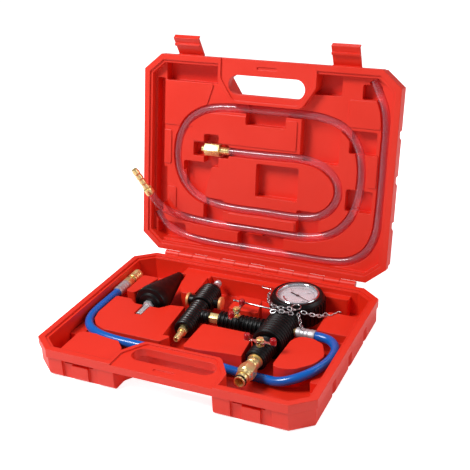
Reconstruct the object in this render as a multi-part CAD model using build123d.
from build123d import *
import math
import os

# Coolant vacuum filler: an air-driven tool that evacuates an engine's cooling system
# and draws the coolant in, packed in its blow-moulded carrying case. Millimetres.
# Origin: middle of the case's underside. +X right, -Y the handle side, +Z up.
os.makedirs("parts", exist_ok=True)

# Carrying case
case_width = 380.0
case_depth = 291.0
drawn_width = 380.0
drawn_depth = 291.0
across = case_width / drawn_width
along = case_depth / drawn_depth
base_height = 40.0
lid_height = 36.0
corner_cut_x = 27.0
corner_cut_y = 22.5
flange_height = 12.0
flange_overhang = 2.0
case_wall = 12.0
rim_step_width = 4.0
rim_step_drop = 2.5
floor_thickness = 3.0
bottom_round = 7.0
pad_rise = 27.0
lid_pad_drop = 12.0
channel_floor_rise = 15.5
base_trench_gap = 2.0
flute_width = 11.0
flute_depth = 3.5
front_flute_shares = (-0.71, -0.51, 0.51, 0.71)
side_flute_shares = (-0.40, 0.03, 0.47)

# Carrying handle
handle_slot_length = 114.0
handle_slot_width = 27.0
handle_slot_y = -110.0 * along
handle_plate = 13.0
bay_width = 146.0
bay_back_y = -84.0 * along
bay_round = 20.0
bay_slant = 30.0
bay_wall = 6.0
bay_lip_drop = 2.0
grip_mark_length = 30.0
grip_mark_width = 4.0
grip_mark_depth = 1.5

# Case hinge
open_angle = 100.4
lid_gap = 0.3
hinge_offset = 5.2
knuckle_radius = 4.8
hinge_pin_radius = 1.75
knuckle_count = 13
knuckle_length = 22.6
knuckle_gap = 0.4
pin_fit = 0.05

# Latches
latch_left_share = -0.625
latch_right_share = 0.59
latch_width = 39.0
latch_thickness = 3.4
latch_knuckle_radius = 4.0
latch_pin_radius = 1.5
latch_pivot_inset = 3.0
latch_pivot_rise = 7.0
latch_hook = 2.8
latch_hook_gap = 0.6
latch_side_gap = 1.0
latch_anchor = 5.0
latch_left_open = 50.0
latch_right_open = 60.0
latch_tail = 9.0
catch_height = 6.0
catch_depth = 5.0
face_gap = 0.3

# Evacuation tool: one centre height for every pipe of it
rest_gap = 0.3
grip_radius = 22.0
tool_z = floor_thickness + rest_gap + grip_radius
tool_x = 84.5 * across
grip_front_y = -16.0 * along
grip_back_y = 46.0 * along
front_sleeve_radius = 14.5
front_sleeve_y = -56.0 * along
arm_y = 21.0 * along
arm_sleeve_radius = 12.0
arm_left_x = 0.0
port_y = 26.0 * along
port_x = 109.0 * across
core_radius = 10.0
arm_core_radius = 8.6
port_radius = 5.0
core_bore = 4.0
sleeve_fit = 0.1
rib_pitch = 5.6
rib_height = 1.6

# Quarter-turn valves
ball_radius = 6.6
ball_fit = 0.08
stem_radius = 2.6
handle_lift = 17.2
handle_z = tool_z + handle_lift
handle_half = 18.4
handle_tip = 2.8
handle_bar_width = 7.0
handle_bar_thickness = 1.6
handle_tip_width = 5.0
handle_waist_width = 4.2
handle_hub_width = 9.0
wing_height = 8.0
vinyl_wall = 1.1
vinyl_clearance = 0.4
vinyl_radius = 4.1
valve_nut_flats = 9.0
valve_nut_height = 4.2
left_valve_x = 26.0 * across
front_valve_y = -38.5 * along

# Vacuum gauge
gauge_y = 94.0 * along
gauge_rise = 19.2
gauge_top_z = tool_z + gauge_rise
boot_radius = 38.5
boot_height = 37.0
boot_rib_count = 36
boot_rib = 1.4
bezel_radius = 30.0
bezel_width = 3.0
case_cup_radius = 29.0
case_cup_wall = 1.2
case_cup_depth = 28.0
lens_thickness = 1.2
dial_drop = 5.5
dial_thickness = 0.8
pointer_length = 21.0
pointer_tail = 13.0
pointer_angle = -27.0
pointer_root = 2.2
pointer_point = 0.5
pointer_thickness = 0.5
pointer_hub_radius = 2.2
pointer_hub_height = 0.7
pointer_gap = 0.8
movement_plate = (16.0, 12.0, 2.0)
movement_plate_z = 9.0
movement_post_radius = 2.0
movement_post_x = 5.0
bourdon_radius = 19.0
bourdon_wall = 2.5
bourdon_width = 4.0
bourdon_z = 5.0
bourdon_foot = 8.0
gauge_stem_radius = 6.5
gauge_hex_flats = 14.0

# Air-driven venturi
venturi_x = -37.5 * across
venturi_y = 30.0 * along
venturi_yaw = 5.0
venturi_front = -52.0
venturi_shoulder = 12.0
venturi_back = 60.0
venturi_taper = 6.0
venturi_end_radius = 12.5
venturi_slim_radius = 13.4
venturi_fat_radius = 16.2
venturi_throat = 2.2
venturi_mouth = 5.0
silencer_along = 28.0
silencer_radius = 9.6
silencer_thickness = 4.0
silencer_reach = 26.0
silencer_boss_radius = 7.5
nipple_length = 25.0
nipple_radius = 3.9
nipple_barb_radius = 4.5
nipple_hex_flats = 11.8
nipple_hex_length = 5.0
inlet_plug_length = 24.0
inlet_hex_flats = 15.0
inlet_plug_radius = 5.6
union_flats = 13.0
union_left_x = -13.5 * across

# Quick couplers and the blue air hose
coupler_back_y = -56.0 * along
coupler_mouth_y = -105.0 * along
coupler_body_radius = 7.2
coupler_barrel_radius = 8.6
coupler_nose = 11.0
coupler_sleeve_flats = 20.0
coupler_sleeve_length = 22.0
coupler_travel = 4.0
coupler_gap = 1.5
coupler_moving_length = coupler_nose + coupler_sleeve_length + coupler_travel + coupler_gap
coupler_barrel_length = coupler_back_y - coupler_mouth_y - coupler_moving_length
sleeve_groove = 0.6
mouth_bore_radius = 5.6
mouth_bore_depth = 28.0
seal_groove = 0.7
seal_width = 2.2
seal_stand = 0.8
seal_inset = 3.0
air_hose_radius = 6.0
ferrule_radius = 7.3
ferrule_length = 25.0
crimp_depth = 0.3
hose_coupler_x = -169.5 * across
hose_coupler_y = 38.0 * along
hose_coupler_length = 36.0
hose_coupler_radius = 6.0
hose_coupler_flats = 13.8
hose_coupler_grip = 7.8
hose_coupler_sleeve_length = 19.8

# Cone adapter
cone_x = -107.0 * across
cone_y = 22.0 * along
cone_radius = 23.8
cone_z = floor_thickness + rest_gap + cone_radius
cone_tip_radius = 6.0
cone_collar = 12.0
cone_boss = 3.0
cone_boss_share = 0.7
cone_length = 90.0
cone_tube_radius = 4.4
cone_tube_front = 33.0
cone_stub_radius = 4.0
cone_stub_length = 20.0
cone_hex_flats = 13.0
cone_hex_length = 6.0

# Clear hoses in the lid
clear_hose_radius = 5.5
hose_depth = 16.2
lid_channel_width = 13.0
lid_channel_depth = 22.0
plug_flats = 17.0
plug_hex_length = 24.0
plug_barb_length = 15.0
plug_nib_length = 5.0
barb_count = 4
barb_depth = 0.8
tip_length = 46.0
tip_collar_length = 10.0
tip_collar_radius = 6.6
tip_stem_radius = 5.2

# Hanging chain
link_length = 8.4
link_width = 5.4
link_wire = 1.3
link_slack = 0.35

# Derived places
half_width = case_width / 2
half_depth = case_depth / 2
pad_z = floor_thickness + pad_rise
base_pad_drop = base_height - pad_z
lid_z = base_height + lid_gap
hinge_y = half_depth + hinge_offset
hinge_z = base_height + lid_gap / 2
hinge_axis = Axis((0, hinge_y, hinge_z), (1, 0, 0))
inner_inset = flange_overhang + case_wall - rim_step_width / 2
hose_z = tool_z
overrun = 1.0
arc_share = 0.45


def case_outline(inset):
    """Octagonal plan of the case, drawn in by inset."""
    x = half_width
    y = half_depth
    corners = [
        (x - corner_cut_x, y), (x, y - corner_cut_y),
        (x, corner_cut_y - y), (x - corner_cut_x, -y),
        (corner_cut_x - x, -y), (-x, corner_cut_y - y),
        (-x, y - corner_cut_y), (corner_cut_x - x, y),
    ]
    plan = Polygon(*corners, align=None)
    if inset > 0:
        plan = offset(plan, -inset, kind=Kind.INTERSECTION)
    return plan


def slab(plan, low, high):
    """Plan outline extruded between two heights."""
    return extrude(Pos(0, 0, low) * plan, amount=high - low, dir=(0, 0, 1))


def block(x_low, x_high, y_low, y_high, z_low, z_high):
    """Box between limits."""
    size = (x_high - x_low, y_high - y_low, z_high - z_low)
    corner = (Align.MIN, Align.MIN, Align.MIN)
    return Pos(x_low, y_low, z_low) * Box(*size, align=corner)


def plan_pad(shares, corner_radius, low, high):
    """Raised pad with rounded corners, its corners as shares of the half case."""
    points = [(x * half_width, y * half_depth) for x, y in shares]
    corner = corner_radius * min(across, along)
    plan = fillet(Polygon(*points, align=None).vertices(), corner)
    return slab(plan, low, high)


def turned(points):
    """Solid of revolution about Z from (radius, height) points."""
    return revolve(Plane.XZ * Polygon(*points, align=None), axis=Axis.Z)


def tube(radius, bore, length):
    """Straight tube on Z from zero up."""
    base = (Align.CENTER, Align.CENTER, Align.MIN)
    body = Cylinder(radius, length, align=base)
    if bore > 0:
        body -= Cylinder(bore, length, align=base)
    return body


def hexagon(flats, length):
    """Hexagonal prism on Z from zero up."""
    return extrude(RegularPolygon(flats / 2, 6, major_radius=False), amount=length)


def ribbed(core, length, radius):
    """Profile of a ribbed rubber sleeve: rounded ribs along its length."""
    count = max(2, round(length / rib_pitch))
    pitch = length / count
    points = [(core, 0)]
    for index in range(count):
        start = index * pitch
        points.append((radius - rib_height, start))
        points.append((radius, start + pitch / 4))
        points.append((radius, start + pitch * 3 / 5))
        points.append((radius - rib_height, start + pitch * 4 / 5))
    points.append((radius - rib_height, length))
    points.append((core, length))
    return turned(points)


def toward_front(x, y, z):
    """Place that turns local +Z toward the handle side."""
    return Pos(x, y, z) * Rot(90, 0, 0)


def toward_right(x, y, z):
    """Place that turns local +Z toward +X."""
    return Pos(x, y, z) * Rot(0, 90, 0)


def lift_lid(shape):
    """Turn a shape drawn on the closed lid to the open lid."""
    return shape.rotate(hinge_axis, -open_angle)


def hose_path(route):
    """Straight runs joined by arcs as large as the runs allow; prints the least radius."""
    radii = []
    for before, here, after in zip(route, route[1:], route[2:]):
        run_in = Vector(*here) - Vector(*before)
        run_out = Vector(*after) - Vector(*here)
        turn = math.radians(run_in.get_angle(run_out))
        radii.append(arc_share * min(run_in.length, run_out.length) / math.tan(turn / 2))
    path = FilletPolyline(*route, radius=radii)
    print("least bend radius", round(min(radii), 1), "length", round(path.length, 1))
    return path


def hose(route, radius):
    """Solid tube along a route, with its volume set against section times length."""
    path = hose_path(route)
    start = Plane(origin=path @ 0, z_dir=path % 0)
    body = sweep(start * Circle(radius), path=path)
    ideal = math.pi * radius ** 2 * path.length
    print("tube volume share", round(body.volume / ideal, 4))
    return body


def drawn_out(route):
    """Points drawn for the usual size of case, moved out with its width and depth."""
    return [(x * across, y * along, z) for x, y, z in route]


# Routes of the hoses, points chosen by hand
air_hose_left = [(hose_coupler_x, hose_coupler_y, hose_z)] + drawn_out([
    (-169.5, 16, hose_z), (-170.5, -11, hose_z), (-168, -38, hose_z), (-155, -59, hose_z),
    (-131, -71, hose_z), (-100, -75, hose_z), (-64, -75.5, hose_z),
])
air_hose_dip = drawn_out([
    (-28, -74.5, hose_z), (6, -72, hose_z - 4), (38, -67, hose_z - 11.5),
    (68, -64.5, hose_z - 15.8), (98, -66.5, hose_z - 15.8), (124, -74, hose_z - 10.5),
    (147, -65.5, hose_z - 3),
])
air_hose_right = drawn_out([
    (163, -46, hose_z), (170.5, -20, hose_z), (170, 3.3, hose_z), (161.7, 17.7, hose_z),
    (149, 26, hose_z),
]) + [(port_x + ferrule_length, port_y, hose_z)]
air_hose_route = air_hose_left + air_hose_dip + air_hose_right

# The clear hoses are drawn on the closed lid: across, along, depth below the rim
refill_route = drawn_out([
    (-57, -12, hose_depth), (-20, -12, hose_depth), (20, -13, hose_depth),
    (57, -14, hose_depth), (86, -8, hose_depth), (107, 9, hose_depth),
    (112, 32, hose_depth), (101, 55, hose_depth), (77, 69, hose_depth),
    (40, 71, hose_depth), (0, 70, hose_depth), (-40, 71, hose_depth),
    (-76, 69, hose_depth), (-108, 60, hose_depth), (-131, 38, hose_depth),
    (-141, 6, hose_depth), (-138, -28, hose_depth), (-122, -56, hose_depth),
    (-93, -72, hose_depth), (-54, -76, hose_depth), (-10, -75.5, hose_depth),
    (35, -76, hose_depth), (78, -75, hose_depth), (113, -65, hose_depth),
    (134, -42, hose_depth), (142, -10, hose_depth), (141, 28, hose_depth),
    (131, 63, hose_depth), (109, 87, hose_depth), (75, 98, hose_depth),
    (35, 99, hose_depth), (-5, 98, hose_depth), (-45, 98.5, hose_depth),
    (-82, 98, hose_depth), (-112, 96, hose_depth),
])
refill_end_route = drawn_out([
    (-112, 96, hose_depth), (-127, 95, hose_depth), (-140, 90, hose_depth - 9),
    (-150.5, 80, hose_depth - 25), (-157.5, 68, hose_depth - 35.5),
    (-163, 55, hose_depth - 43),
])
packed_end_route = drawn_out([
    (-82, 98, hose_depth), (-112, 96, hose_depth), (-140, 92, hose_depth),
    (-157, 73, hose_depth), (-163, 48, hose_depth), (-163, 20, hose_depth),
])
bleed_route = drawn_out([
    (149, -130, hose_depth), (158, -112, hose_depth), (167, -93, hose_depth),
    (171, -65, hose_depth), (170.5, -30, hose_depth), (171, 8, hose_depth),
    (170.5, 45, hose_depth), (169, 80, hose_depth), (157, 108, hose_depth),
    (133, 124, hose_depth), (100, 128, hose_depth), (62, 127.5, hose_depth),
    (22, 128, hose_depth), (-18, 127.5, hose_depth), (-58, 128, hose_depth),
    (-98, 127, hose_depth), (-134, 122, hose_depth), (-160, 110, hose_depth),
    (-171, 90, hose_depth),
])


def on_closed_lid(route):
    """Lid route in the closed lid's own heights."""
    return [(x, y, lid_z + depth) for x, y, depth in route]


# Pads of the base and pockets of the lid, corners as shares of the half case
base_pad_shares = {
    "left_rear": [(-0.82, 0.27), (-0.82, 0.62), (-0.68, 0.62), (-0.745, 0.27)],
    "big_left": [
        (-0.845, 0.15), (-0.72, 0.15), (-0.66, 0.08), (-0.46, 0.08), (-0.40, 0.17),
        (-0.28, 0.19), (-0.255, -0.24), (-0.20, -0.35), (-0.24, -0.44), (-0.68, -0.435),
        (-0.76, -0.40), (-0.82, -0.30), (-0.845, -0.18),
    ],
    "rear_middle": [(-0.55, 0.96), (-0.55, 0.75), (-0.42, 0.43), (-0.315, 0.43), (-0.315, 0.96)],
    "rear_ledge": [(-0.36, 0.96), (-0.36, 0.835), (0.78, 0.835), (0.78, 0.96)],
    "centre_front": [
        (-0.065, -0.44), (-0.065, -0.03), (0.26, -0.03), (0.33, -0.11), (0.355, -0.44),
    ],
    "right_rear": [(0.70, 0.22), (0.70, 0.57), (0.965, 0.57), (0.965, 0.22)],
    "front_left": [
        (-0.82, -0.96), (-0.82, -0.53), (-0.53, -0.53), (-0.43, -0.66), (-0.43, -0.96),
    ],
    "valve_rest": [(0.01, 0.31), (0.01, 0.57), (0.19, 0.57), (0.24, 0.31)],
    "right_front": [
        (0.575, -0.50), (0.585, -0.02), (0.62, 0.08), (0.72, 0.08), (0.80, 0.03),
        (0.855, -0.14), (0.84, -0.27), (0.70, -0.46),
    ],
}
lid_raised_shares = {
    "right_between": [(0.79, -0.21), (0.79, 0.10), (0.858, 0.10), (0.858, -0.21)],
    "left_between": [(-0.895, -0.24), (-0.895, 0.10), (-0.79, 0.10), (-0.79, -0.24)],
    "rear_between": [(-0.29, 0.54), (-0.29, 0.63), (0.26, 0.63), (0.26, 0.54)],
    "front_left_field": [(-0.87, -0.74), (-0.87, -0.30), (-0.55, -0.30), (-0.44, -0.74)],
    "left_rear": [(-0.87, 0.34), (-0.87, 0.62), (-0.74, 0.62), (-0.74, 0.34)],
    "loop_upper": [(-0.60, -0.40), (-0.62, -0.16), (0.24, -0.16), (0.24, -0.45), (-0.52, -0.45)],
    "right_field": [(0.62, -0.70), (0.62, -0.45), (0.86, -0.45), (0.86, -0.70)],
}
lid_pocket_shares = {
    "plug_across": [(-0.60, -0.15), (-0.60, -0.01), (-0.30, -0.01), (-0.30, -0.15)],
    "plug_along": [(-0.51, -0.24), (-0.51, 0.09), (-0.385, 0.09), (-0.385, -0.24)],
    "left_valve": [(-0.07, 0.00), (-0.07, 0.33), (0.27, 0.33), (0.27, 0.00)],
    "front_valve": [(0.27, -0.48), (0.27, -0.07), (0.57, -0.07), (0.57, -0.48)],
    "front_middle": [(-0.17, -0.56), (-0.17, -0.37), (0.15, -0.37), (0.15, -0.56)],
    "rear_middle": [(-0.20, 0.72), (-0.20, 0.93), (0.18, 0.93), (0.18, 0.72)],
    "left_inner": [(-0.50, 0.41), (-0.50, 0.69), (-0.33, 0.69), (-0.33, 0.41)],
    "right_inner": [(0.27, 0.41), (0.27, 0.69), (0.45, 0.69), (0.45, 0.41)],
    "cone": [(-0.68, 0.05), (-0.68, 0.30), (-0.60, 0.42), (-0.50, 0.42), (-0.43, 0.05)],
    "rear_left": [(-0.90, 0.72), (-0.90, 0.90), (-0.62, 0.90), (-0.66, 0.72)],
    "left_strip": [(-0.92, -0.76), (-0.92, 0.62), (-0.85, 0.62), (-0.85, -0.76)],
    "front_left": [(-0.84, -0.93), (-0.84, -0.74), (-0.40, -0.74), (-0.40, -0.93)],
    "front_right": [(0.35, -0.91), (0.35, -0.72), (0.56, -0.72), (0.56, -0.91)],
    "right_front": [(0.71, -0.85), (0.71, -0.71), (0.85, -0.71), (0.85, -0.85)],
    "right_upper": [(0.64, 0.14), (0.64, 0.35), (0.84, 0.35), (0.84, 0.14)],
    "right_lower": [(0.64, -0.42), (0.64, -0.20), (0.84, -0.20), (0.84, -0.42)],
}
bed_shares = (
    (-0.93, -0.84, -0.50, 0.25),
    (-0.86, -0.12, -0.60, -0.42),
    (0.84, 0.93, -0.45, 0.22),
)
lid_pocket_round = 3.0
deep_lid_pocket = 27.5
lid_pad_rise = 1.5
pad_corner = 4.0
round_pad_corners = {"front_left": 9.0, "right_front": 13.0}


def flutes(low, high):
    """Upright grooves in the outside walls, as cutters."""
    cutters = []
    wall_x = half_width - flange_overhang
    wall_y = half_depth - flange_overhang
    for share in front_flute_shares:
        x = share * half_width
        for side in (-1, 1):
            cutters.append(flute_at(x, side * wall_y, 90 - 90 * side, low, high))
    for share in side_flute_shares:
        y = share * half_depth
        for side in (-1, 1):
            cutters.append(flute_at(side * wall_x, y, 90 * side, low, high))
    return cutters


def flute_at(x, y, turn, low, high):
    """One groove with slanted sides, centred on a wall."""
    outer = flute_width / 2 + flute_depth / 2
    inner = flute_width / 2 - flute_depth / 2
    points = [
        (-outer, -flute_depth), (-outer, 0), (-inner, flute_depth),
        (inner, flute_depth), (outer, 0), (outer, -flute_depth),
    ]
    plan = Polygon(*points, align=None)
    return slab(Pos(x, y) * Rot(0, 0, turn) * plan, low, high)


def bay_plan(inset):
    """Plan of the handle bay that is let into the front of the case."""
    half = bay_width / 2 - inset
    front = -half_depth - overrun
    back = bay_back_y - inset
    points = [
        (-half, front), (-half, back - bay_slant), (-half + bay_round, back),
        (half - bay_round, back), (half, back - bay_slant), (half, front),
    ]
    plan = Polygon(*points, align=None)
    upper = plan.vertices().filter_by(lambda v: v.Y > -half_depth)
    return fillet(upper, bay_round / 2)


def handle_slot():
    """Hand hole, longer than it is wide, with round ends."""
    plan = Pos(0, handle_slot_y) * SlotOverall(handle_slot_length, handle_slot_width)
    return plan


def shell_outside(height):
    """Outer form of one case half: flange, drafted wall and rounded far edge.

    Drawn with its rim at zero and its outside below.
    """
    flange = slab(case_outline(0), -flange_height, 0)
    body = slab(case_outline(flange_overhang), -height, -flange_height)
    far = body.faces().sort_by(Axis.Z)[0].edges()
    body = fillet(far, bottom_round)
    shape = flange + body
    for groove in flutes(-height - overrun, -flange_height - overrun):
        shape -= groove
    shape -= slab(bay_plan(bay_wall), -height - overrun, -handle_plate)
    return shape


def rim_cut(shape):
    """Take the inside down to the rim's step, outside the handle bay."""
    step_inset = inner_inset - rim_step_width
    inner = case_outline(step_inset) - bay_plan(0)
    shape -= slab(inner, -rim_step_drop, overrun)
    return shape


def base_inside(shape):
    """Hollow of the base: rim step, cavity, then the pads that hold the tool."""
    shape = rim_cut(shape)
    cavity_plan = case_outline(inner_inset) - bay_plan(0)
    shape -= slab(cavity_plan, floor_thickness - base_height, 0)
    pads = []
    low = floor_thickness - base_height - overrun
    for name, shares in base_pad_shares.items():
        corner = round_pad_corners.get(name, pad_corner)
        pads.append(plan_pad(shares, corner, low, -base_pad_drop))
    cavity_floor = floor_thickness - base_height
    channel_floor = cavity_floor + channel_floor_rise
    room = slab(case_outline(inner_inset - overrun), low, 0)
    clearance = tool_pockets(cavity_floor)
    clearance += hose_trench(air_hose_route, channel_floor)
    clearance += hose_trench(air_hose_dip, cavity_floor)
    for pad in pads:
        shape += (pad & room) - clearance
    beds = hose_bed(channel_floor, low) & room
    shape += beds - tool_pockets(cavity_floor)
    return shape


def hose_bed(top, low):
    """Raised floor of the channel that the air hose lies in."""
    beds = Part()
    for x_low, x_high, y_low, y_high in bed_shares:
        beds += block(x_low * half_width, x_high * half_width, y_low * half_depth,
                      y_high * half_depth, low, top)
    return beds


def hose_trench(route, bottom):
    """Trench for the air hose, from a floor up through the rim."""
    return slab(trace(plan_line(route), 2 * air_hose_radius + base_trench_gap), bottom, overrun)


def tool_pockets(floor):
    """Room for the tool and the cone adapter, cut from the pads."""
    lower = floor
    upper = overrun
    drop = -base_height
    around = 2.0
    room = Pos(tool_x, gauge_y, lower) * tube(boot_radius + around, 0, upper - lower)
    grip = grip_radius + around
    room += block(tool_x - grip, tool_x + grip, grip_front_y - around,
                  gauge_y, lower, upper)
    slim = front_sleeve_radius + around
    room += block(tool_x - slim, tool_x + slim, coupler_mouth_y - around,
                  grip_front_y, lower, upper)
    arm = arm_sleeve_radius + around
    room += block(venturi_x, tool_x, arm_y - arm, arm_y + arm, lower, upper)
    port = ferrule_radius + around
    room += block(tool_x, port_x + ferrule_length, port_y - port, port_y + port,
                  tool_z - port + drop, upper)
    fat = venturi_fat_radius + around
    length = venturi_back + inlet_plug_length + around - venturi_front + nipple_length
    venturi_room = block(-fat, fat, venturi_front - nipple_length,
                         venturi_front - nipple_length + length, lower, upper)
    reach = silencer_reach + around
    venturi_room += block(-reach, reach, silencer_along - silencer_radius - around,
                          silencer_along + silencer_radius + around, lower, upper)
    room += Pos(venturi_x, venturi_y, 0) * Rot(0, 0, venturi_yaw) * venturi_room
    cone_room = turned([
        (0, -cone_tube_front - around), (cone_tube_radius + around, -cone_tube_front - around),
        (cone_tube_radius + around, -around - cone_boss),
        (cone_radius + around, -around - cone_boss),
        (cone_radius + around, cone_collar + around),
        (cone_tip_radius + around * 2, cone_length + around), (0, cone_length + around),
    ])
    room += Pos(cone_x, cone_y, cone_z + drop) * Rot(-90, 0, 0) * cone_room
    return room


def handle_bay(shape):
    """Handle plate at the rim with its hand hole and a small thumb mark."""
    shape -= slab(bay_plan(case_wall / 3), -bay_lip_drop, overrun)
    shape -= slab(handle_slot(), -base_height - overrun, overrun)
    mark = SlotOverall(grip_mark_length, grip_mark_width)
    mark_y = (handle_slot_y - handle_slot_width / 2 - half_depth) / 2
    top = -bay_lip_drop
    shape -= slab(Pos(0, mark_y) * mark, top - grip_mark_depth, top + overrun)
    return shape


def knuckles(starts, above):
    """Hinge barrels on the rear flange, each with its web, bored for the pin."""
    barrels = None
    for start in starts:
        barrel = toward_right(start, hinge_y, hinge_z) * tube(knuckle_radius, 0, knuckle_length)
        end = start + knuckle_length
        if above:
            web = block(start, end, half_depth - overrun, hinge_y, hinge_z + lid_gap,
                        hinge_z + knuckle_radius)
        else:
            web = block(start, end, half_depth - overrun, hinge_y, hinge_z - knuckle_radius,
                        hinge_z - lid_gap)
        part = barrel + web
        bore = hinge_pin_radius + pin_fit
        part -= toward_right(start - overrun, hinge_y, hinge_z) * tube(
            bore, 0, knuckle_length + 2 * overrun)
        barrels = part if barrels is None else barrels + part
    return barrels


def hinge_starts(first):
    """Left ends of every second barrel of the hinge, from the first or the second on."""
    step = knuckle_length + knuckle_gap
    left = (knuckle_gap - knuckle_count * step) / 2
    return [left + index * step for index in range(first, knuckle_count, 2)]


def make_base_shell():
    shape = shell_outside(base_height)
    shape = base_inside(shape)
    shape = handle_bay(shape)
    shape = Pos(0, 0, base_height) * shape
    for side in (-1, 1):
        x = latch_x(side)
        half = latch_width / 2 + latch_side_gap
        wall_y = -half_depth + flange_overhang
        top = base_height - flange_height
        shape -= block(x - half, x + half, wall_y - overrun, wall_y + catch_depth,
                       top - catch_height, top)
    shape += knuckles(hinge_starts(0), False)
    return shape


def make_lid_shell():
    shape = shell_outside(lid_height)
    shape = rim_cut(shape)
    cavity_plan = case_outline(inner_inset) - bay_plan(0)
    shape -= slab(cavity_plan, -lid_pad_drop, 0)
    pocket_limit = slab(case_outline(inner_inset), floor_thickness - lid_height, overrun)
    pocket_limit -= slab(bay_plan(0), -lid_height, overrun)
    cutters = []
    for name, shares in lid_pocket_shares.items():
        cutters.append(plan_pad(shares, lid_pocket_round, -deep_lid_pocket, overrun))
    for route in (refill_route, packed_end_route, bleed_route):
        cutters.append(lid_channel(route))
    for name, shares in lid_raised_shares.items():
        shape += plan_pad(shares, lid_pocket_round, -lid_pad_drop - overrun,
                          lid_pad_rise - lid_pad_drop)
    for cutter in cutters:
        shape -= cutter & pocket_limit
    shape = handle_bay(shape)
    shape = Pos(0, 0, lid_z) * mirror(shape, Plane.XY)
    for side in (-1, 1):
        shape -= latch_notch(side)
    shape += knuckles(hinge_starts(1), True)
    return shape


def plan_line(route):
    """Plan of a hose's route, its corners rounded as the hose's are."""
    flat = [(x, y) for x, y, z in route]
    radii = []
    for before, here, after in zip(flat, flat[1:], flat[2:]):
        run_in = Vector(*here) - Vector(*before)
        run_out = Vector(*after) - Vector(*here)
        turn = math.radians(run_in.get_angle(run_out))
        radii.append(arc_share * min(run_in.length, run_out.length) / math.tan(turn / 2))
    return FilletPolyline(*flat, radius=radii)


def lid_channel(route):
    """Channel in the lid that a clear hose is pressed into."""
    return slab(trace(plan_line(route), lid_channel_width), -lid_channel_depth, overrun)


latch_pivot_y = -half_depth + latch_pivot_inset
latch_pivot_z = lid_z + latch_pivot_rise


def latch_x(side):
    """Middle of the left (-1) or the right (1) latch."""
    return (latch_left_share if side < 0 else latch_right_share) * half_width


def latch_notch(side):
    """Notch in the lid's front flange for the latch's barrel, with its pin holes."""
    x = latch_x(side)
    half = latch_width / 2 + latch_side_gap / 2
    deep = latch_knuckle_radius + face_gap
    low = latch_pivot_z - deep
    swing = latch_pivot_inset + latch_thickness + 2 * face_gap
    notch = block(x - half, x + half, -half_depth - overrun, latch_pivot_y + deep,
                  low, latch_pivot_z + swing)
    length = latch_width + latch_side_gap + 2 * latch_anchor
    hole = toward_right(x - length / 2, latch_pivot_y, latch_pivot_z) * tube(
        latch_pin_radius + pin_fit, 0, length)
    return notch + hole


def latch_closed(side):
    """Latch in its fastened place: barrel, plate down the flanges, hook, finger lip."""
    x = latch_x(side)
    half = latch_width / 2
    barrel = toward_right(x - half, latch_pivot_y, latch_pivot_z) * tube(
        latch_knuckle_radius, 0, latch_width)
    inner_y = -half_depth - face_gap
    outer_y = inner_y - latch_thickness
    hook_top = base_height - flange_height - latch_hook_gap
    hook_low = hook_top - latch_thickness
    tail_low = hook_low - latch_tail
    plate = block(x - half, x + half, outer_y, inner_y, tail_low, latch_pivot_z)
    plate += block(x - half, x + half, outer_y, latch_pivot_y,
                   latch_pivot_z - latch_knuckle_radius / 2, latch_pivot_z)
    plate += block(x - half, x + half, inner_y - overrun, inner_y + latch_hook,
                   hook_low, hook_top)
    lip = block(x - half, x + half, outer_y - latch_thickness, outer_y + overrun,
                tail_low, tail_low + latch_thickness / 2)
    shape = barrel + plate + lip
    bore = latch_pin_radius + pin_fit
    shape -= toward_right(x - half - overrun, latch_pivot_y, latch_pivot_z) * tube(
        bore, 0, latch_width + 2 * overrun)
    return shape


def make_latch(side, opened):
    """Latch swung open from its fastened place, then carried up with the lid."""
    axis = Axis((0, latch_pivot_y, latch_pivot_z), (1, 0, 0))
    return lift_lid(latch_closed(side).rotate(axis, -opened))


def make_latch_pins():
    length = latch_width + latch_side_gap + 2 * latch_anchor
    pins = []
    for side in (-1, 1):
        x = latch_x(side) - length / 2
        pin = toward_right(x, latch_pivot_y, latch_pivot_z) * tube(latch_pin_radius, 0, length)
        pins.append(lift_lid(pin))
    return Compound(children=pins)


def make_hinge_pin():
    length = knuckle_count * (knuckle_length + knuckle_gap) - knuckle_gap
    return toward_right(-length / 2, hinge_y, hinge_z) * tube(hinge_pin_radius, 0, length)


def cross_pipe(radius, arm_radius, port, front, back, left, right):
    """Main pipe along Y with a left arm and a right port."""
    shape = toward_front(tool_x, back, tool_z) * tube(radius, 0, back - front)
    shape += toward_right(left, arm_y, tool_z) * tube(arm_radius, 0, tool_x - left)
    if right > tool_x:
        shape += toward_right(tool_x, port_y, tool_z) * tube(port, 0, right - tool_x)
    return shape


def make_manifold_body():
    """Cast cross body inside the rubber grips, bored for air and for both valves."""
    shape = cross_pipe(core_radius, arm_core_radius, port_radius, front_sleeve_y,
                       grip_back_y + 3 * overrun, arm_left_x, port_x)
    shape += Pos(left_valve_x, arm_y, tool_z) * tube(stem_radius * 2, 0, arm_sleeve_radius)
    shape += Pos(tool_x, front_valve_y, tool_z) * tube(stem_radius * 2, 0, front_sleeve_radius)
    bore = toward_front(tool_x, grip_back_y + 4 * overrun, tool_z) * tube(
        core_bore, 0, grip_back_y - front_sleeve_y + 5 * overrun)
    bore += toward_right(arm_left_x - overrun, arm_y, tool_z) * tube(
        core_bore, 0, tool_x - arm_left_x)
    bore += toward_right(tool_x, port_y, tool_z) * tube(core_bore, 0, port_x - tool_x + overrun)
    seat = ball_radius + ball_fit
    for x, y in ((left_valve_x, arm_y), (tool_x, front_valve_y)):
        bore += Pos(x, y, tool_z) * Sphere(seat)
        bore += Pos(x, y, tool_z) * tube(stem_radius + ball_fit, 0, grip_radius)
    return shape - bore


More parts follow.
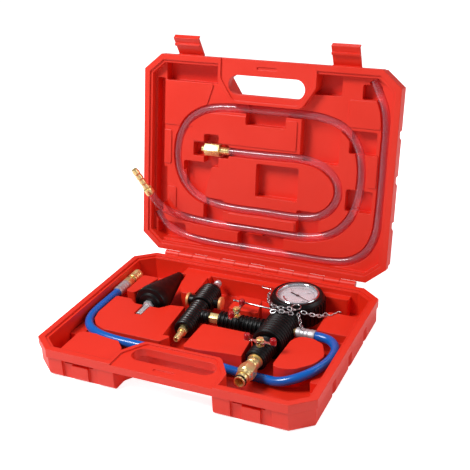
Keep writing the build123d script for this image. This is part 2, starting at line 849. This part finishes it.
def make_grip_sleeve():
    """Fat ribbed rubber grip over the middle of the cross body."""
    length = grip_back_y - grip_front_y
    shape = toward_front(tool_x, grip_back_y, tool_z) * ribbed(0, length, grip_radius)
    room = cross_pipe(core_radius + sleeve_fit, arm_core_radius + sleeve_fit,
                      port_radius + sleeve_fit, grip_front_y - overrun, grip_back_y + overrun,
                      tool_x - grip_radius - overrun, port_x + overrun)
    shape -= room
    shape -= rod_shape(rod_radius + sleeve_fit)
    return shape


def make_front_sleeve():
    """Slimmer ribbed rubber sleeve over the front arm."""
    gap = sleeve_fit
    length = grip_front_y - front_sleeve_y - gap
    shape = toward_front(tool_x, grip_front_y - gap, tool_z) * ribbed(
        core_radius + sleeve_fit, length, front_sleeve_radius)
    shape -= Pos(tool_x, front_valve_y, tool_z) * tube(
        stem_radius * 2 + sleeve_fit, 0, grip_radius)
    return shape


def make_arm_sleeve():
    """Ribbed rubber sleeve over the left arm."""
    reach = math.sqrt(grip_radius ** 2 - arm_sleeve_radius ** 2)
    length = tool_x - reach - arm_left_x - 2 * overrun
    shape = toward_right(arm_left_x + overrun, arm_y, tool_z) * ribbed(
        arm_core_radius + sleeve_fit, length, arm_sleeve_radius)
    shape -= toward_front(tool_x, grip_back_y, tool_z) * tube(
        grip_radius + sleeve_fit, 0, grip_back_y - grip_front_y)
    shape -= Pos(left_valve_x, arm_y, tool_z) * tube(
        stem_radius * 2 + sleeve_fit, 0, grip_radius)
    return shape


def valve_ball(x, y, turned_by):
    """Drilled valve ball with a slot for the stem's tongue."""
    ball = Sphere(ball_radius)
    drill = Rot(0, 90, 0) * Cylinder(core_bore, 3 * ball_radius)
    slot = block(-ball_radius, ball_radius, -stem_radius / 2, stem_radius / 2,
                 ball_radius * 3 / 4, 2 * ball_radius)
    shape = ball - drill - slot
    return Pos(x, y, tool_z) * Rot(0, 0, turned_by) * shape


def valve_stem(x, y, turned_by):
    """Stem with a tongue in the ball, square shoulder and threaded end."""
    tongue_low = ball_radius * 3 / 4 + ball_fit
    top = handle_z + handle_bar_thickness + valve_nut_height + overrun - tool_z
    shaft = Pos(0, 0, ball_radius + ball_fit) * tube(stem_radius, 0, top - ball_radius - ball_fit)
    tongue = block(-stem_radius * 2 / 3, stem_radius * 2 / 3, -stem_radius / 2 + ball_fit,
                   stem_radius / 2 - ball_fit, tongue_low, ball_radius + overrun)
    return Pos(x, y, tool_z) * Rot(0, 0, turned_by) * (shaft + tongue)


def valve_handle(x, y, turned_by):
    """Stamped butterfly lever, drawn along local X, with upturned wings."""
    half = handle_half + handle_tip
    neck = handle_bar_width / 2
    tip = handle_tip_width / 2
    waist = handle_waist_width / 2
    hub = handle_hub_width / 2
    upper = [(-half, tip), (-2 * neck, waist), (-neck, hub)]
    upper += [(-x, y) for x, y in reversed(upper)]
    bar = Polygon(*upper, *[(-x, -y) for x, y in upper], align=None)
    plate = slab(bar, 0, handle_bar_thickness)
    wing = slab(bar & Pos(handle_half - handle_bar_thickness / 2, 0) * Rectangle(
        handle_bar_thickness, 2 * neck), 0, wing_height)
    plate += wing + mirror(wing, Plane.YZ)
    plate -= tube(stem_radius + ball_fit, 0, handle_bar_thickness)
    return Pos(x, y, handle_z) * Rot(0, 0, turned_by) * plate


def valve_vinyl(x, y, turned_by):
    """Red vinyl caps pulled over the two wings, round with domed ends."""
    caps = []
    wing = handle_tip_width / 2 + sleeve_fit
    inner_x = handle_half - handle_bar_thickness - sleeve_fit
    outer_x = handle_half + sleeve_fit
    low = handle_bar_thickness + vinyl_clearance
    height = wing_height - low + vinyl_wall
    for side in (-1, 1):
        cap = fillet(tube(vinyl_radius, 0, height).edges().group_by(Axis.Z)[-1], vinyl_radius / 2)
        cap = Pos((inner_x + outer_x) / 2, 0, low) * cap
        cap -= block(inner_x, outer_x, -wing, wing, low - overrun, wing_height + sleeve_fit)
        if side < 0:
            cap = mirror(cap, Plane.YZ)
        caps.append(Pos(x, y, handle_z) * Rot(0, 0, turned_by) * cap)
    return Compound(children=caps)


def valve_nut(x, y, turned_by):
    """Brass nut that holds the lever on its stem."""
    nut = hexagon(valve_nut_flats, valve_nut_height)
    nut = chamfer(nut.edges().group_by(Axis.Z)[-1], overrun / 2)
    nut -= tube(stem_radius + ball_fit, 0, valve_nut_height)
    z = handle_z + handle_bar_thickness
    return Pos(x, y, z) * Rot(0, 0, turned_by) * nut


rod_radius = 1.25
rod_z = tool_z + 17.7
rod_start, rod_end = drawn_out([(11.0, 46.4, rod_z), (73.0, 42.2, rod_z)])


def rod_shape(radius):
    """Straight hanger rod that screws into the side of the grip."""
    start = Vector(*rod_start)
    along = Vector(*rod_end) - start
    plane = Plane(origin=start, z_dir=along)
    return plane.location * tube(radius, 0, along.length)


def make_hanger_rod():
    rod = rod_shape(rod_radius)
    return rod + Pos(*rod_start) * Sphere(rod_radius * 3 / 2)


def make_gauge_stem():
    """Brass stem from the cross body into the side of the gauge."""
    start = grip_back_y + 3 * overrun
    cup_front = gauge_y - case_cup_radius
    shape = toward_front(tool_x, cup_front, tool_z) * tube(
        gauge_stem_radius, core_bore / 2, cup_front - start)
    nut = toward_front(tool_x, start + 4 * overrun, tool_z) * (
        hexagon(gauge_hex_flats, 4 * overrun) - tube(core_bore, 0, 4 * overrun))
    return shape + nut


cup_top_z = gauge_top_z - bezel_width


def make_gauge_cup():
    """Pressed steel cup of the gauge, open at the dial."""
    low = cup_top_z - case_cup_depth
    cup = Pos(tool_x, gauge_y, low) * tube(case_cup_radius, 0, case_cup_depth)
    hollow = Pos(tool_x, gauge_y, low + case_cup_wall) * tube(
        case_cup_radius - case_cup_wall, 0, case_cup_depth)
    return cup - hollow


def make_gauge_boot():
    """Ribbed rubber boot round the gauge."""
    low = gauge_top_z - boot_height
    lip = overrun
    body = turned([
        (0, 0), (boot_radius - boot_rib * 3, 0), (boot_radius - boot_rib, boot_rib * 2),
        (boot_radius - boot_rib, boot_height - lip - boot_rib * 4),
        (boot_radius - boot_rib * 3, boot_height - lip), (0, boot_height - lip),
    ])
    rib = block(boot_radius - boot_rib * 2, boot_radius, -boot_rib, boot_rib,
                boot_rib * 3, boot_height - boot_rib * 3 * 2)
    ribs = [Rot(0, 0, index * 360 / boot_rib_count) * rib for index in range(boot_rib_count)]
    body = body + ribs
    cup = case_cup_radius + sleeve_fit
    cup_low = boot_height - bezel_width - case_cup_depth - sleeve_fit
    body -= Pos(0, 0, cup_low) * tube(cup, 0, boot_height)
    body -= Pos(0, 0, boot_height - bezel_width - sleeve_fit) * tube(
        bezel_radius + sleeve_fit, 0, boot_height)
    shape = Pos(tool_x, gauge_y, low) * body
    shape -= toward_front(tool_x, gauge_y, tool_z) * tube(
        gauge_stem_radius + sleeve_fit, 0, boot_radius + overrun)
    return shape


def make_gauge_bezel():
    """Chromed ring over the edge of the lens."""
    inner = bezel_radius - bezel_width
    seat = case_cup_radius - case_cup_wall
    ring = turned([
        (inner, bezel_width - overrun), (bezel_radius - bezel_width / 2, bezel_width),
        (bezel_radius - overrun, bezel_width), (bezel_radius, bezel_width - overrun),
        (bezel_radius, 0), (seat, 0), (seat, overrun), (inner, overrun),
    ])
    return Pos(tool_x, gauge_y, cup_top_z) * ring


def make_gauge_lens():
    """Clear window seated in the cup under the bezel."""
    radius = case_cup_radius - case_cup_wall - pin_fit
    z = cup_top_z + overrun - pin_fit - lens_thickness
    return Pos(tool_x, gauge_y, z) * tube(radius, 0, lens_thickness)


def make_gauge_dial():
    radius = case_cup_radius - case_cup_wall - pin_fit
    dial = tube(radius, gauge_shaft_radius + pin_fit * 2, dial_thickness)
    return Pos(tool_x, gauge_y, gauge_top_z - dial_drop - dial_thickness) * dial


gauge_shaft_radius = 0.8


def make_gauge_pointer():
    """Pointer with its hub and the shaft that carries it."""
    root = pointer_root / 2
    point = pointer_point / 2
    arm = Polygon((-pointer_tail, -root), (-pointer_tail, root), (pointer_length, point),
                  (pointer_length, -point), align=None)
    z = dial_drop - pointer_gap
    shape = slab(arm, 0, pointer_thickness) + tube(pointer_hub_radius, 0, pointer_hub_height)
    floor_z = cup_top_z - case_cup_depth + case_cup_wall
    reach = gauge_top_z - z - floor_z - movement_plate_z + overrun
    shaft = Pos(0, 0, -reach) * tube(gauge_shaft_radius, 0, reach)
    place = Pos(tool_x, gauge_y, gauge_top_z - z) * Rot(0, 0, pointer_angle)
    return place * (shape + shaft)


def make_gauge_movement():
    """Plate and curved pressure tube behind the dial."""
    floor_z = cup_top_z - case_cup_depth + case_cup_wall
    shape = Pos(0, 0, movement_plate_z) * Box(*movement_plate)
    for side in (-1, 1):
        shape += Pos(side * movement_post_x, 0, 0) * tube(
            movement_post_radius, 0, movement_plate_z)
    inner = bourdon_radius - bourdon_wall
    ring = tube(bourdon_radius, inner, bourdon_width)
    ring -= block(-overrun, bourdon_radius + overrun, -bourdon_radius - overrun, 0,
                  -overrun, bourdon_width + overrun)
    half = bourdon_foot / 2
    shape += Pos(0, 0, bourdon_z) * ring
    shape += block(-half, half, -bourdon_radius, -inner + bourdon_wall, 0, movement_plate_z)
    shape += block(-half, half, -bourdon_radius, 0, 0, bourdon_width)
    shape -= tube(gauge_shaft_radius + pin_fit * 2, 0, case_cup_depth)
    return Pos(tool_x, gauge_y, floor_z) * shape


def venturi_place():
    return Pos(venturi_x, venturi_y, tool_z) * Rot(0, 0, venturi_yaw) * Rot(-90, 0, 0)


def make_venturi_body():
    """Moulded venturi: slim ribbed front, fat ribbed back, side bosses, tapered bore."""
    slim_length = venturi_shoulder - venturi_front
    fat_length = venturi_back - venturi_shoulder - venturi_taper
    slim = Pos(0, 0, venturi_front) * ribbed(0, slim_length, venturi_slim_radius)
    fat = Pos(0, 0, venturi_shoulder) * ribbed(0, fat_length, venturi_fat_radius)
    fat += turned([
        (0, venturi_shoulder), (venturi_fat_radius - rib_height, venturi_shoulder),
        (venturi_fat_radius - rib_height, venturi_back - venturi_taper),
        (venturi_end_radius, venturi_back), (0, venturi_back),
    ])
    bosses = Pos(0, 0, silencer_along) * Rot(0, 90, 0) * Cylinder(
        silencer_boss_radius, 2 * (silencer_reach - silencer_thickness))
    bore = turned([
        (0, venturi_front - overrun), (venturi_mouth, venturi_front - overrun),
        (venturi_throat, 0), (venturi_mouth, venturi_back + overrun),
        (0, venturi_back + overrun),
    ])
    shape = venturi_place() * ((slim + fat + bosses) - bore)
    side = toward_right(venturi_x, arm_y, tool_z) * ribbed(
        0, union_left_x - venturi_x, arm_core_radius + rib_height)
    side -= venturi_place() * (Pos(0, 0, venturi_front) * tube(
        venturi_mouth, 0, venturi_back - venturi_front))
    shape += side
    shape -= toward_right(venturi_x, arm_y, tool_z) * tube(
        core_bore, 0, union_left_x - venturi_x + overrun)
    return shape


def make_silencers():
    """Sintered bronze discs on both side bosses."""
    discs = []
    for side in (-1, 1):
        disc = Cylinder(silencer_radius, silencer_thickness)
        disc = fillet(disc.edges(), overrun)
        reach = side * (silencer_reach - silencer_thickness / 2)
        discs.append(venturi_place() * Pos(0, 0, silencer_along) * Rot(0, 90, 0)
                     * Pos(0, 0, reach) * disc)
    return Compound(children=discs)


def make_venturi_nipple():
    """Brass hose nipple with a hex collar and barbs."""
    collar = hexagon(nipple_hex_flats, nipple_hex_length)
    barbs = [(core_bore / 2, nipple_hex_length), (nipple_radius, nipple_hex_length)]
    for index in range(3):
        start = nipple_hex_length * (index + 2)
        barbs.append((nipple_radius, start))
        barbs.append((nipple_barb_radius, start))
        barbs.append((nipple_radius, start + nipple_hex_length - overrun))
    barbs.append((nipple_radius - overrun / 2, nipple_length))
    barbs.append((core_bore / 2, nipple_length))
    shape = collar - tube(core_bore / 2, 0, nipple_hex_length) + turned(barbs)
    return venturi_place() * Pos(0, 0, venturi_front) * Rot(180, 0, 0) * shape


def make_air_inlet():
    """Plated air inlet plug at the back of the venturi: hex, neck, waist and nose."""
    radius_shares = (1.0, 1.0, 0.75, 0.75, 1.0, 0.9)
    height_shares = (0.0, 0.55, 0.6, 0.75, 0.8, 1.0)
    points = [(core_bore / 2, 0)]
    for radius, height in zip(radius_shares, height_shares):
        points.append((inlet_plug_radius * radius, inlet_plug_length * height))
    points.append((core_bore / 2, inlet_plug_length))
    hexed = hexagon(inlet_hex_flats, inlet_plug_length / 3)
    hexed = chamfer(hexed.edges().group_by(Axis.Z)[-1], overrun)
    shape = turned(points) + (hexed - tube(core_bore / 2, 0, inlet_plug_length))
    return venturi_place() * Pos(0, 0, venturi_back) * shape


def make_union():
    """Brass union between the venturi and the left arm."""
    length = arm_left_x - union_left_x
    shape = hexagon(union_flats, length) - tube(core_bore, 0, length)
    return toward_right(union_left_x, arm_y, tool_z) * shape


def make_front_coupler_body():
    """Quick coupler body: plain barrel at the back, long nose bored for the plug."""
    length = coupler_back_y - coupler_mouth_y
    r = coupler_body_radius
    barrel = tube(coupler_barrel_radius, 0, coupler_barrel_length)
    barrel = chamfer(barrel.edges().group_by(Axis.Z)[-1], overrun)
    shape = barrel + tube(r, 0, length)
    shape -= Pos(0, 0, length - mouth_bore_depth) * tube(mouth_bore_radius, 0, length)
    shape -= tube(core_bore, 0, length)
    shape -= Pos(0, 0, length - seal_inset - seal_width) * tube(r * 2, r - seal_groove, seal_width)
    return toward_front(tool_x, coupler_back_y, tool_z) * shape


def coupler_sleeve(inner, outer, length):
    """Sliding sleeve with a grooved grip."""
    step = outer - sleeve_groove
    points = [(inner, 0), (step, 0), (outer, overrun)]
    for index in range(3):
        start = length * (index + 1) / 5
        points += [(outer, start), (step, start + overrun), (step, start + 2 * overrun),
                   (outer, start + 3 * overrun)]
    points += [(outer, length - overrun), (step, length), (inner, length)]
    return turned(points)


def make_front_coupler_sleeve():
    """Sliding hexagonal sleeve with its corners turned off at both ends."""
    length = coupler_sleeve_length
    corner = coupler_sleeve_flats / 2 / math.cos(math.pi / 6)
    waist = coupler_sleeve_flats / 2 - sleeve_groove
    blank = turned([
        (0, 0), (waist, 0), (corner, length / 7), (corner, length * 5 / 8),
        (waist, length * 3 / 4), (waist, length), (0, length),
    ])
    sleeve = hexagon(coupler_sleeve_flats, length) & blank
    sleeve -= tube(coupler_body_radius + pin_fit, 0, length)
    y = coupler_mouth_y + coupler_nose + length
    return toward_front(tool_x, y, tool_z) * Rot(0, 0, 30) * sleeve


def make_front_coupler_seal():
    """Black ring seated in a groove round the coupler's nose, near its mouth."""
    inner = coupler_body_radius - seal_groove + pin_fit
    width = seal_width - 2 * pin_fit
    ring = tube(coupler_body_radius + seal_stand, 0, width)
    ring = fillet(ring.edges(), seal_width / 4) - tube(inner, 0, width)
    y = coupler_mouth_y + seal_inset + seal_width - pin_fit
    return toward_front(tool_x, y, tool_z) * ring


def ferrule():
    """Crimped ferrule with three crimp rings."""
    r = ferrule_radius
    length = ferrule_length
    waist = r - crimp_depth
    points = [(core_bore / 2, 0), (r, 0)]
    for index in range(3):
        start = length * (index + 1) / 5
        points += [(r, start), (waist, start + overrun), (waist, start + 3 * overrun),
                   (r, start + 4 * overrun)]
    points += [(r, length), (core_bore / 2, length)]
    return turned(points)


def make_port_ferrule():
    return toward_right(port_x, port_y, tool_z) * ferrule()


def make_hose_ferrule():
    return toward_front(hose_coupler_x, hose_coupler_y + ferrule_length, hose_z) * ferrule()


def make_hose_coupler_body():
    """Brass coupler at the free end of the air hose."""
    r = hose_coupler_radius
    length = hose_coupler_length
    shape = tube(r, core_bore, length)
    shape += hexagon(hose_coupler_flats, length * 3 / 10) - tube(core_bore, 0, length)
    y = hose_coupler_y + ferrule_length
    return Pos(hose_coupler_x, y, hose_z) * Rot(-90, 0, 0) * shape


def make_hose_coupler_sleeve():
    r = hose_coupler_radius
    length = hose_coupler_sleeve_length
    sleeve = coupler_sleeve(r + pin_fit, hose_coupler_grip, length)
    y = hose_coupler_y + ferrule_length + hose_coupler_length - length
    return Pos(hose_coupler_x, y, hose_z) * Rot(-90, 0, 0) * sleeve


def make_air_hose():
    return hose(air_hose_route, air_hose_radius)


def make_cone_adapter():
    """Rubber cone that seals in the radiator neck."""
    bore = cone_tube_radius + sleeve_fit
    boss = cone_radius * cone_boss_share
    shape = turned([
        (bore, -cone_boss), (boss - overrun, -cone_boss), (boss, 0),
        (cone_radius - overrun, 0), (cone_radius, overrun),
        (cone_radius, cone_collar), (cone_tip_radius, cone_length), (bore, cone_length),
    ])
    return Pos(cone_x, cone_y, cone_z) * Rot(-90, 0, 0) * shape


def make_cone_tube():
    """Plated tube right through the cone, with a hex collar and a barbed front."""
    r = cone_tube_radius
    length = cone_length + cone_tube_front + 2 * overrun
    stub = cone_stub_radius
    points = [(core_bore / 2, 0), (stub - overrun / 2, 0), (stub, overrun)]
    points += [(stub, cone_stub_length), (r, cone_stub_length), (r, length)]
    points += [(core_bore / 2, length)]
    shape = turned(points)
    collar = hexagon(cone_hex_flats, cone_hex_length) - tube(core_bore, 0, cone_hex_length)
    shape += Pos(0, 0, cone_tube_front - cone_boss - cone_hex_length) * collar
    return Pos(cone_x, cone_y - cone_tube_front, cone_z) * Rot(-90, 0, 0) * shape


def barbed(radius, length):
    """Barbed stem on Z from zero up, thinner toward its end, bored through."""
    points = [(core_bore / 2, 0)]
    waist = radius - barb_depth
    for index in range(barb_count):
        start = length * index / barb_count
        points.append((waist, start))
        points.append((radius, start + length / 20))
        points.append((waist, start + length * 9 / 10 / barb_count))
    points += [(waist - overrun / 4, length), (core_bore / 2, length)]
    return turned(points)


def make_refill_plug():
    """Brass plug on the inner end of the refill hose: barbed stem, large hex, short nib."""
    x, y, depth = refill_route[0]
    stem = Rot(180, 0, 0) * Pos(0, 0, -plug_barb_length) * barbed(
        clear_hose_radius, plug_barb_length)
    hexed = hexagon(plug_flats, plug_hex_length)
    hexed = chamfer(hexed.edges().group_by(Axis.Z)[-1], overrun)
    hexed += tube(plug_flats / 4, 0, plug_hex_length + plug_nib_length)
    hexed -= tube(core_bore / 2, 0, plug_hex_length + plug_nib_length)
    shape = stem + Pos(0, 0, plug_barb_length) * hexed
    place = Pos(x, y, lid_z + depth) * Rot(0, -90, 0)
    return lift_lid(place * shape)


def make_refill_tip():
    """Brass end fitting on the free end of the refill hose: collar, then a long barbed stem."""
    route = on_closed_lid(refill_end_route)
    end = Vector(*route[-1])
    heading = end - Vector(*route[-2])
    plane = Plane(origin=end, z_dir=heading)
    collar = tube(tip_collar_radius, core_bore / 2, tip_collar_length)
    stem = barbed(tip_stem_radius, tip_length - tip_collar_length)
    shape = collar + Pos(0, 0, tip_collar_length) * stem
    return lift_lid(plane.location * shape)


def make_refill_hose():
    return lift_lid(hose(on_closed_lid(refill_route), clear_hose_radius))


def make_refill_hose_end():
    return lift_lid(hose(on_closed_lid(refill_end_route), clear_hose_radius))


def make_bleed_hose():
    return lift_lid(hose(on_closed_lid(bleed_route), clear_hose_radius))


# The chain lies over the grip and the gauge's shoulder: strands as hand-chosen points
over_grip = tool_z + 24.5
over_gauge = gauge_top_z + 1.0
chain_strands = {
    "low": drawn_out([
        (103.0, 46.0, over_grip - 8.0), (108.0, 38.0, over_grip - 11.5), (112.5, 30.0, rod_z - 7.6),
        (117.0, 22.0, rod_z - 7.6),
    ]),
    "left": drawn_out([
        (99.0, 46.5, over_gauge), (91.0, 41.0, over_grip), (80.0, 38.0, over_grip),
        (68.0, 43.0, over_grip - 1.8), (58.0, 54.0, over_gauge + 0.5),
        (52.0, 68.0, over_gauge - 0.5), (48.5, 82.0, over_gauge - 1.0),
    ]),
    "second": drawn_out([
        (72.0, 28.0, over_grip - 2.2), (80.0, 30.0, over_grip), (90.0, 31.0, over_grip - 0.4),
        (99.0, 36.0, over_grip - 4.0),
    ]),
    "right": drawn_out([
        (107.0, 50.0, over_gauge - 3.0), (116.0, 50.0, over_gauge - 4.5),
        (125.0, 57.0, pad_z + 7.0), (130.6, 65.0, pad_z + 2.6), (133.2, 73.0, pad_z + 2.4),
    ]),
}
ring_place = (97.0 * across, 55.6 * along, gauge_top_z + 0.4)
ring_radius = 6.2
hook_wire = 1.55
hook_line = ((-3.5, 8.5), (-5.2, 4.5), (-1.0, 1.0), (1.0, -1.0), (5.2, -4.5), (3.5, -8.5))
hook_places = ((41.6, 88.6, gauge_top_z, 35), (142.4, 79.6, pad_z, -75))


def chain_link():
    """One link, drawn flat with its length along X."""
    outer = SlotOverall(link_length, link_width)
    inner = SlotOverall(link_length - 2 * link_wire, link_width - 2 * link_wire)
    flat = extrude(outer - inner, amount=link_wire)
    return Pos(0, 0, -link_wire / 2) * flat


def strand_links(points):
    """Links at a steady pitch along a strand, each turned a quarter from the last."""
    path = Polyline(*points)
    pitch = link_length - 2 * link_wire - link_slack
    count = int(path.length / pitch)
    links = []
    single = chain_link()
    for index in range(count):
        at = (index + 1 / 2) / count
        centre = path @ at
        along = path % at
        side = Vector(0, 0, 1).cross(along)
        plane = Plane(origin=centre, x_dir=along, z_dir=along.cross(side))
        roll = 45 if index % 2 == 0 else -45
        links.append(plane.location * Rot(roll, 0, 0) * single)
    return links


def make_hanger_chain():
    links = []
    for name, points in chain_strands.items():
        links += strand_links(points)
    links.append(Pos(*ring_place) * Torus(ring_radius, link_wire / 2))
    return Compound(children=links)


def s_hook(x, y, z, heading):
    """Wire S-hook lying flat."""
    line = Spline(*hook_line)
    start = Plane(origin=line @ 0, z_dir=line % 0)
    body = sweep(start * Circle(hook_wire / 2), path=line)
    return Pos(x, y, z) * Rot(0, 0, heading) * body


def make_s_hooks():
    hooks = []
    for x, y, z, heading in hook_places:
        hooks.append(s_hook(x * across, y * along, z + link_wire, heading))
    return Compound(children=hooks)


pieces = {
    "base_shell": make_base_shell(),
    "lid_shell": lift_lid(make_lid_shell()),
    "hinge_pin": make_hinge_pin(),
    "latch_pins": make_latch_pins(),
    "latch_left": make_latch(-1, latch_left_open),
    "latch_right": make_latch(1, latch_right_open),
    "manifold_body": make_manifold_body(),
    "grip_sleeve": make_grip_sleeve(),
    "front_sleeve": make_front_sleeve(),
    "arm_sleeve": make_arm_sleeve(),
    "left_valve_ball": valve_ball(left_valve_x, arm_y, 90),
    "left_valve_stem": valve_stem(left_valve_x, arm_y, 90),
    "left_valve_handle": valve_handle(left_valve_x, arm_y, 90),
    "left_valve_vinyl": valve_vinyl(left_valve_x, arm_y, 90),
    "left_valve_nut": valve_nut(left_valve_x, arm_y, 90),
    "front_valve_ball": valve_ball(tool_x, front_valve_y, 0),
    "front_valve_stem": valve_stem(tool_x, front_valve_y, 0),
    "front_valve_handle": valve_handle(tool_x, front_valve_y, 0),
    "front_valve_vinyl": valve_vinyl(tool_x, front_valve_y, 0),
    "front_valve_nut": valve_nut(tool_x, front_valve_y, 0),
    "hanger_rod": make_hanger_rod(),
    "gauge_stem": make_gauge_stem(),
    "gauge_cup": make_gauge_cup(),
    "gauge_boot": make_gauge_boot(),
    "gauge_bezel": make_gauge_bezel(),
    "gauge_lens": make_gauge_lens(),
    "gauge_dial": make_gauge_dial(),
    "gauge_pointer": make_gauge_pointer(),
    "gauge_movement": make_gauge_movement(),
    "venturi_body": make_venturi_body(),
    "silencer_discs": make_silencers(),
    "venturi_nipple": make_venturi_nipple(),
    "air_inlet_plug": make_air_inlet(),
    "venturi_union": make_union(),
    "front_coupler_body": make_front_coupler_body(),
    "front_coupler_sleeve": make_front_coupler_sleeve(),
    "front_coupler_seal": make_front_coupler_seal(),
    "port_ferrule": make_port_ferrule(),
    "air_hose": make_air_hose(),
    "hose_ferrule": make_hose_ferrule(),
    "hose_coupler_body": make_hose_coupler_body(),
    "hose_coupler_sleeve": make_hose_coupler_sleeve(),
    "cone_adapter": make_cone_adapter(),
    "cone_tube": make_cone_tube(),
    "refill_plug": make_refill_plug(),
    "refill_hose": make_refill_hose(),
    "refill_hose_end": make_refill_hose_end(),
    "refill_tip": make_refill_tip(),
    "bleed_hose": make_bleed_hose(),
    "hanger_chain": make_hanger_chain(),
    "s_hooks": make_s_hooks(),
}

for name, shape in pieces.items():
    export_step(shape, "parts/" + name + ".step")
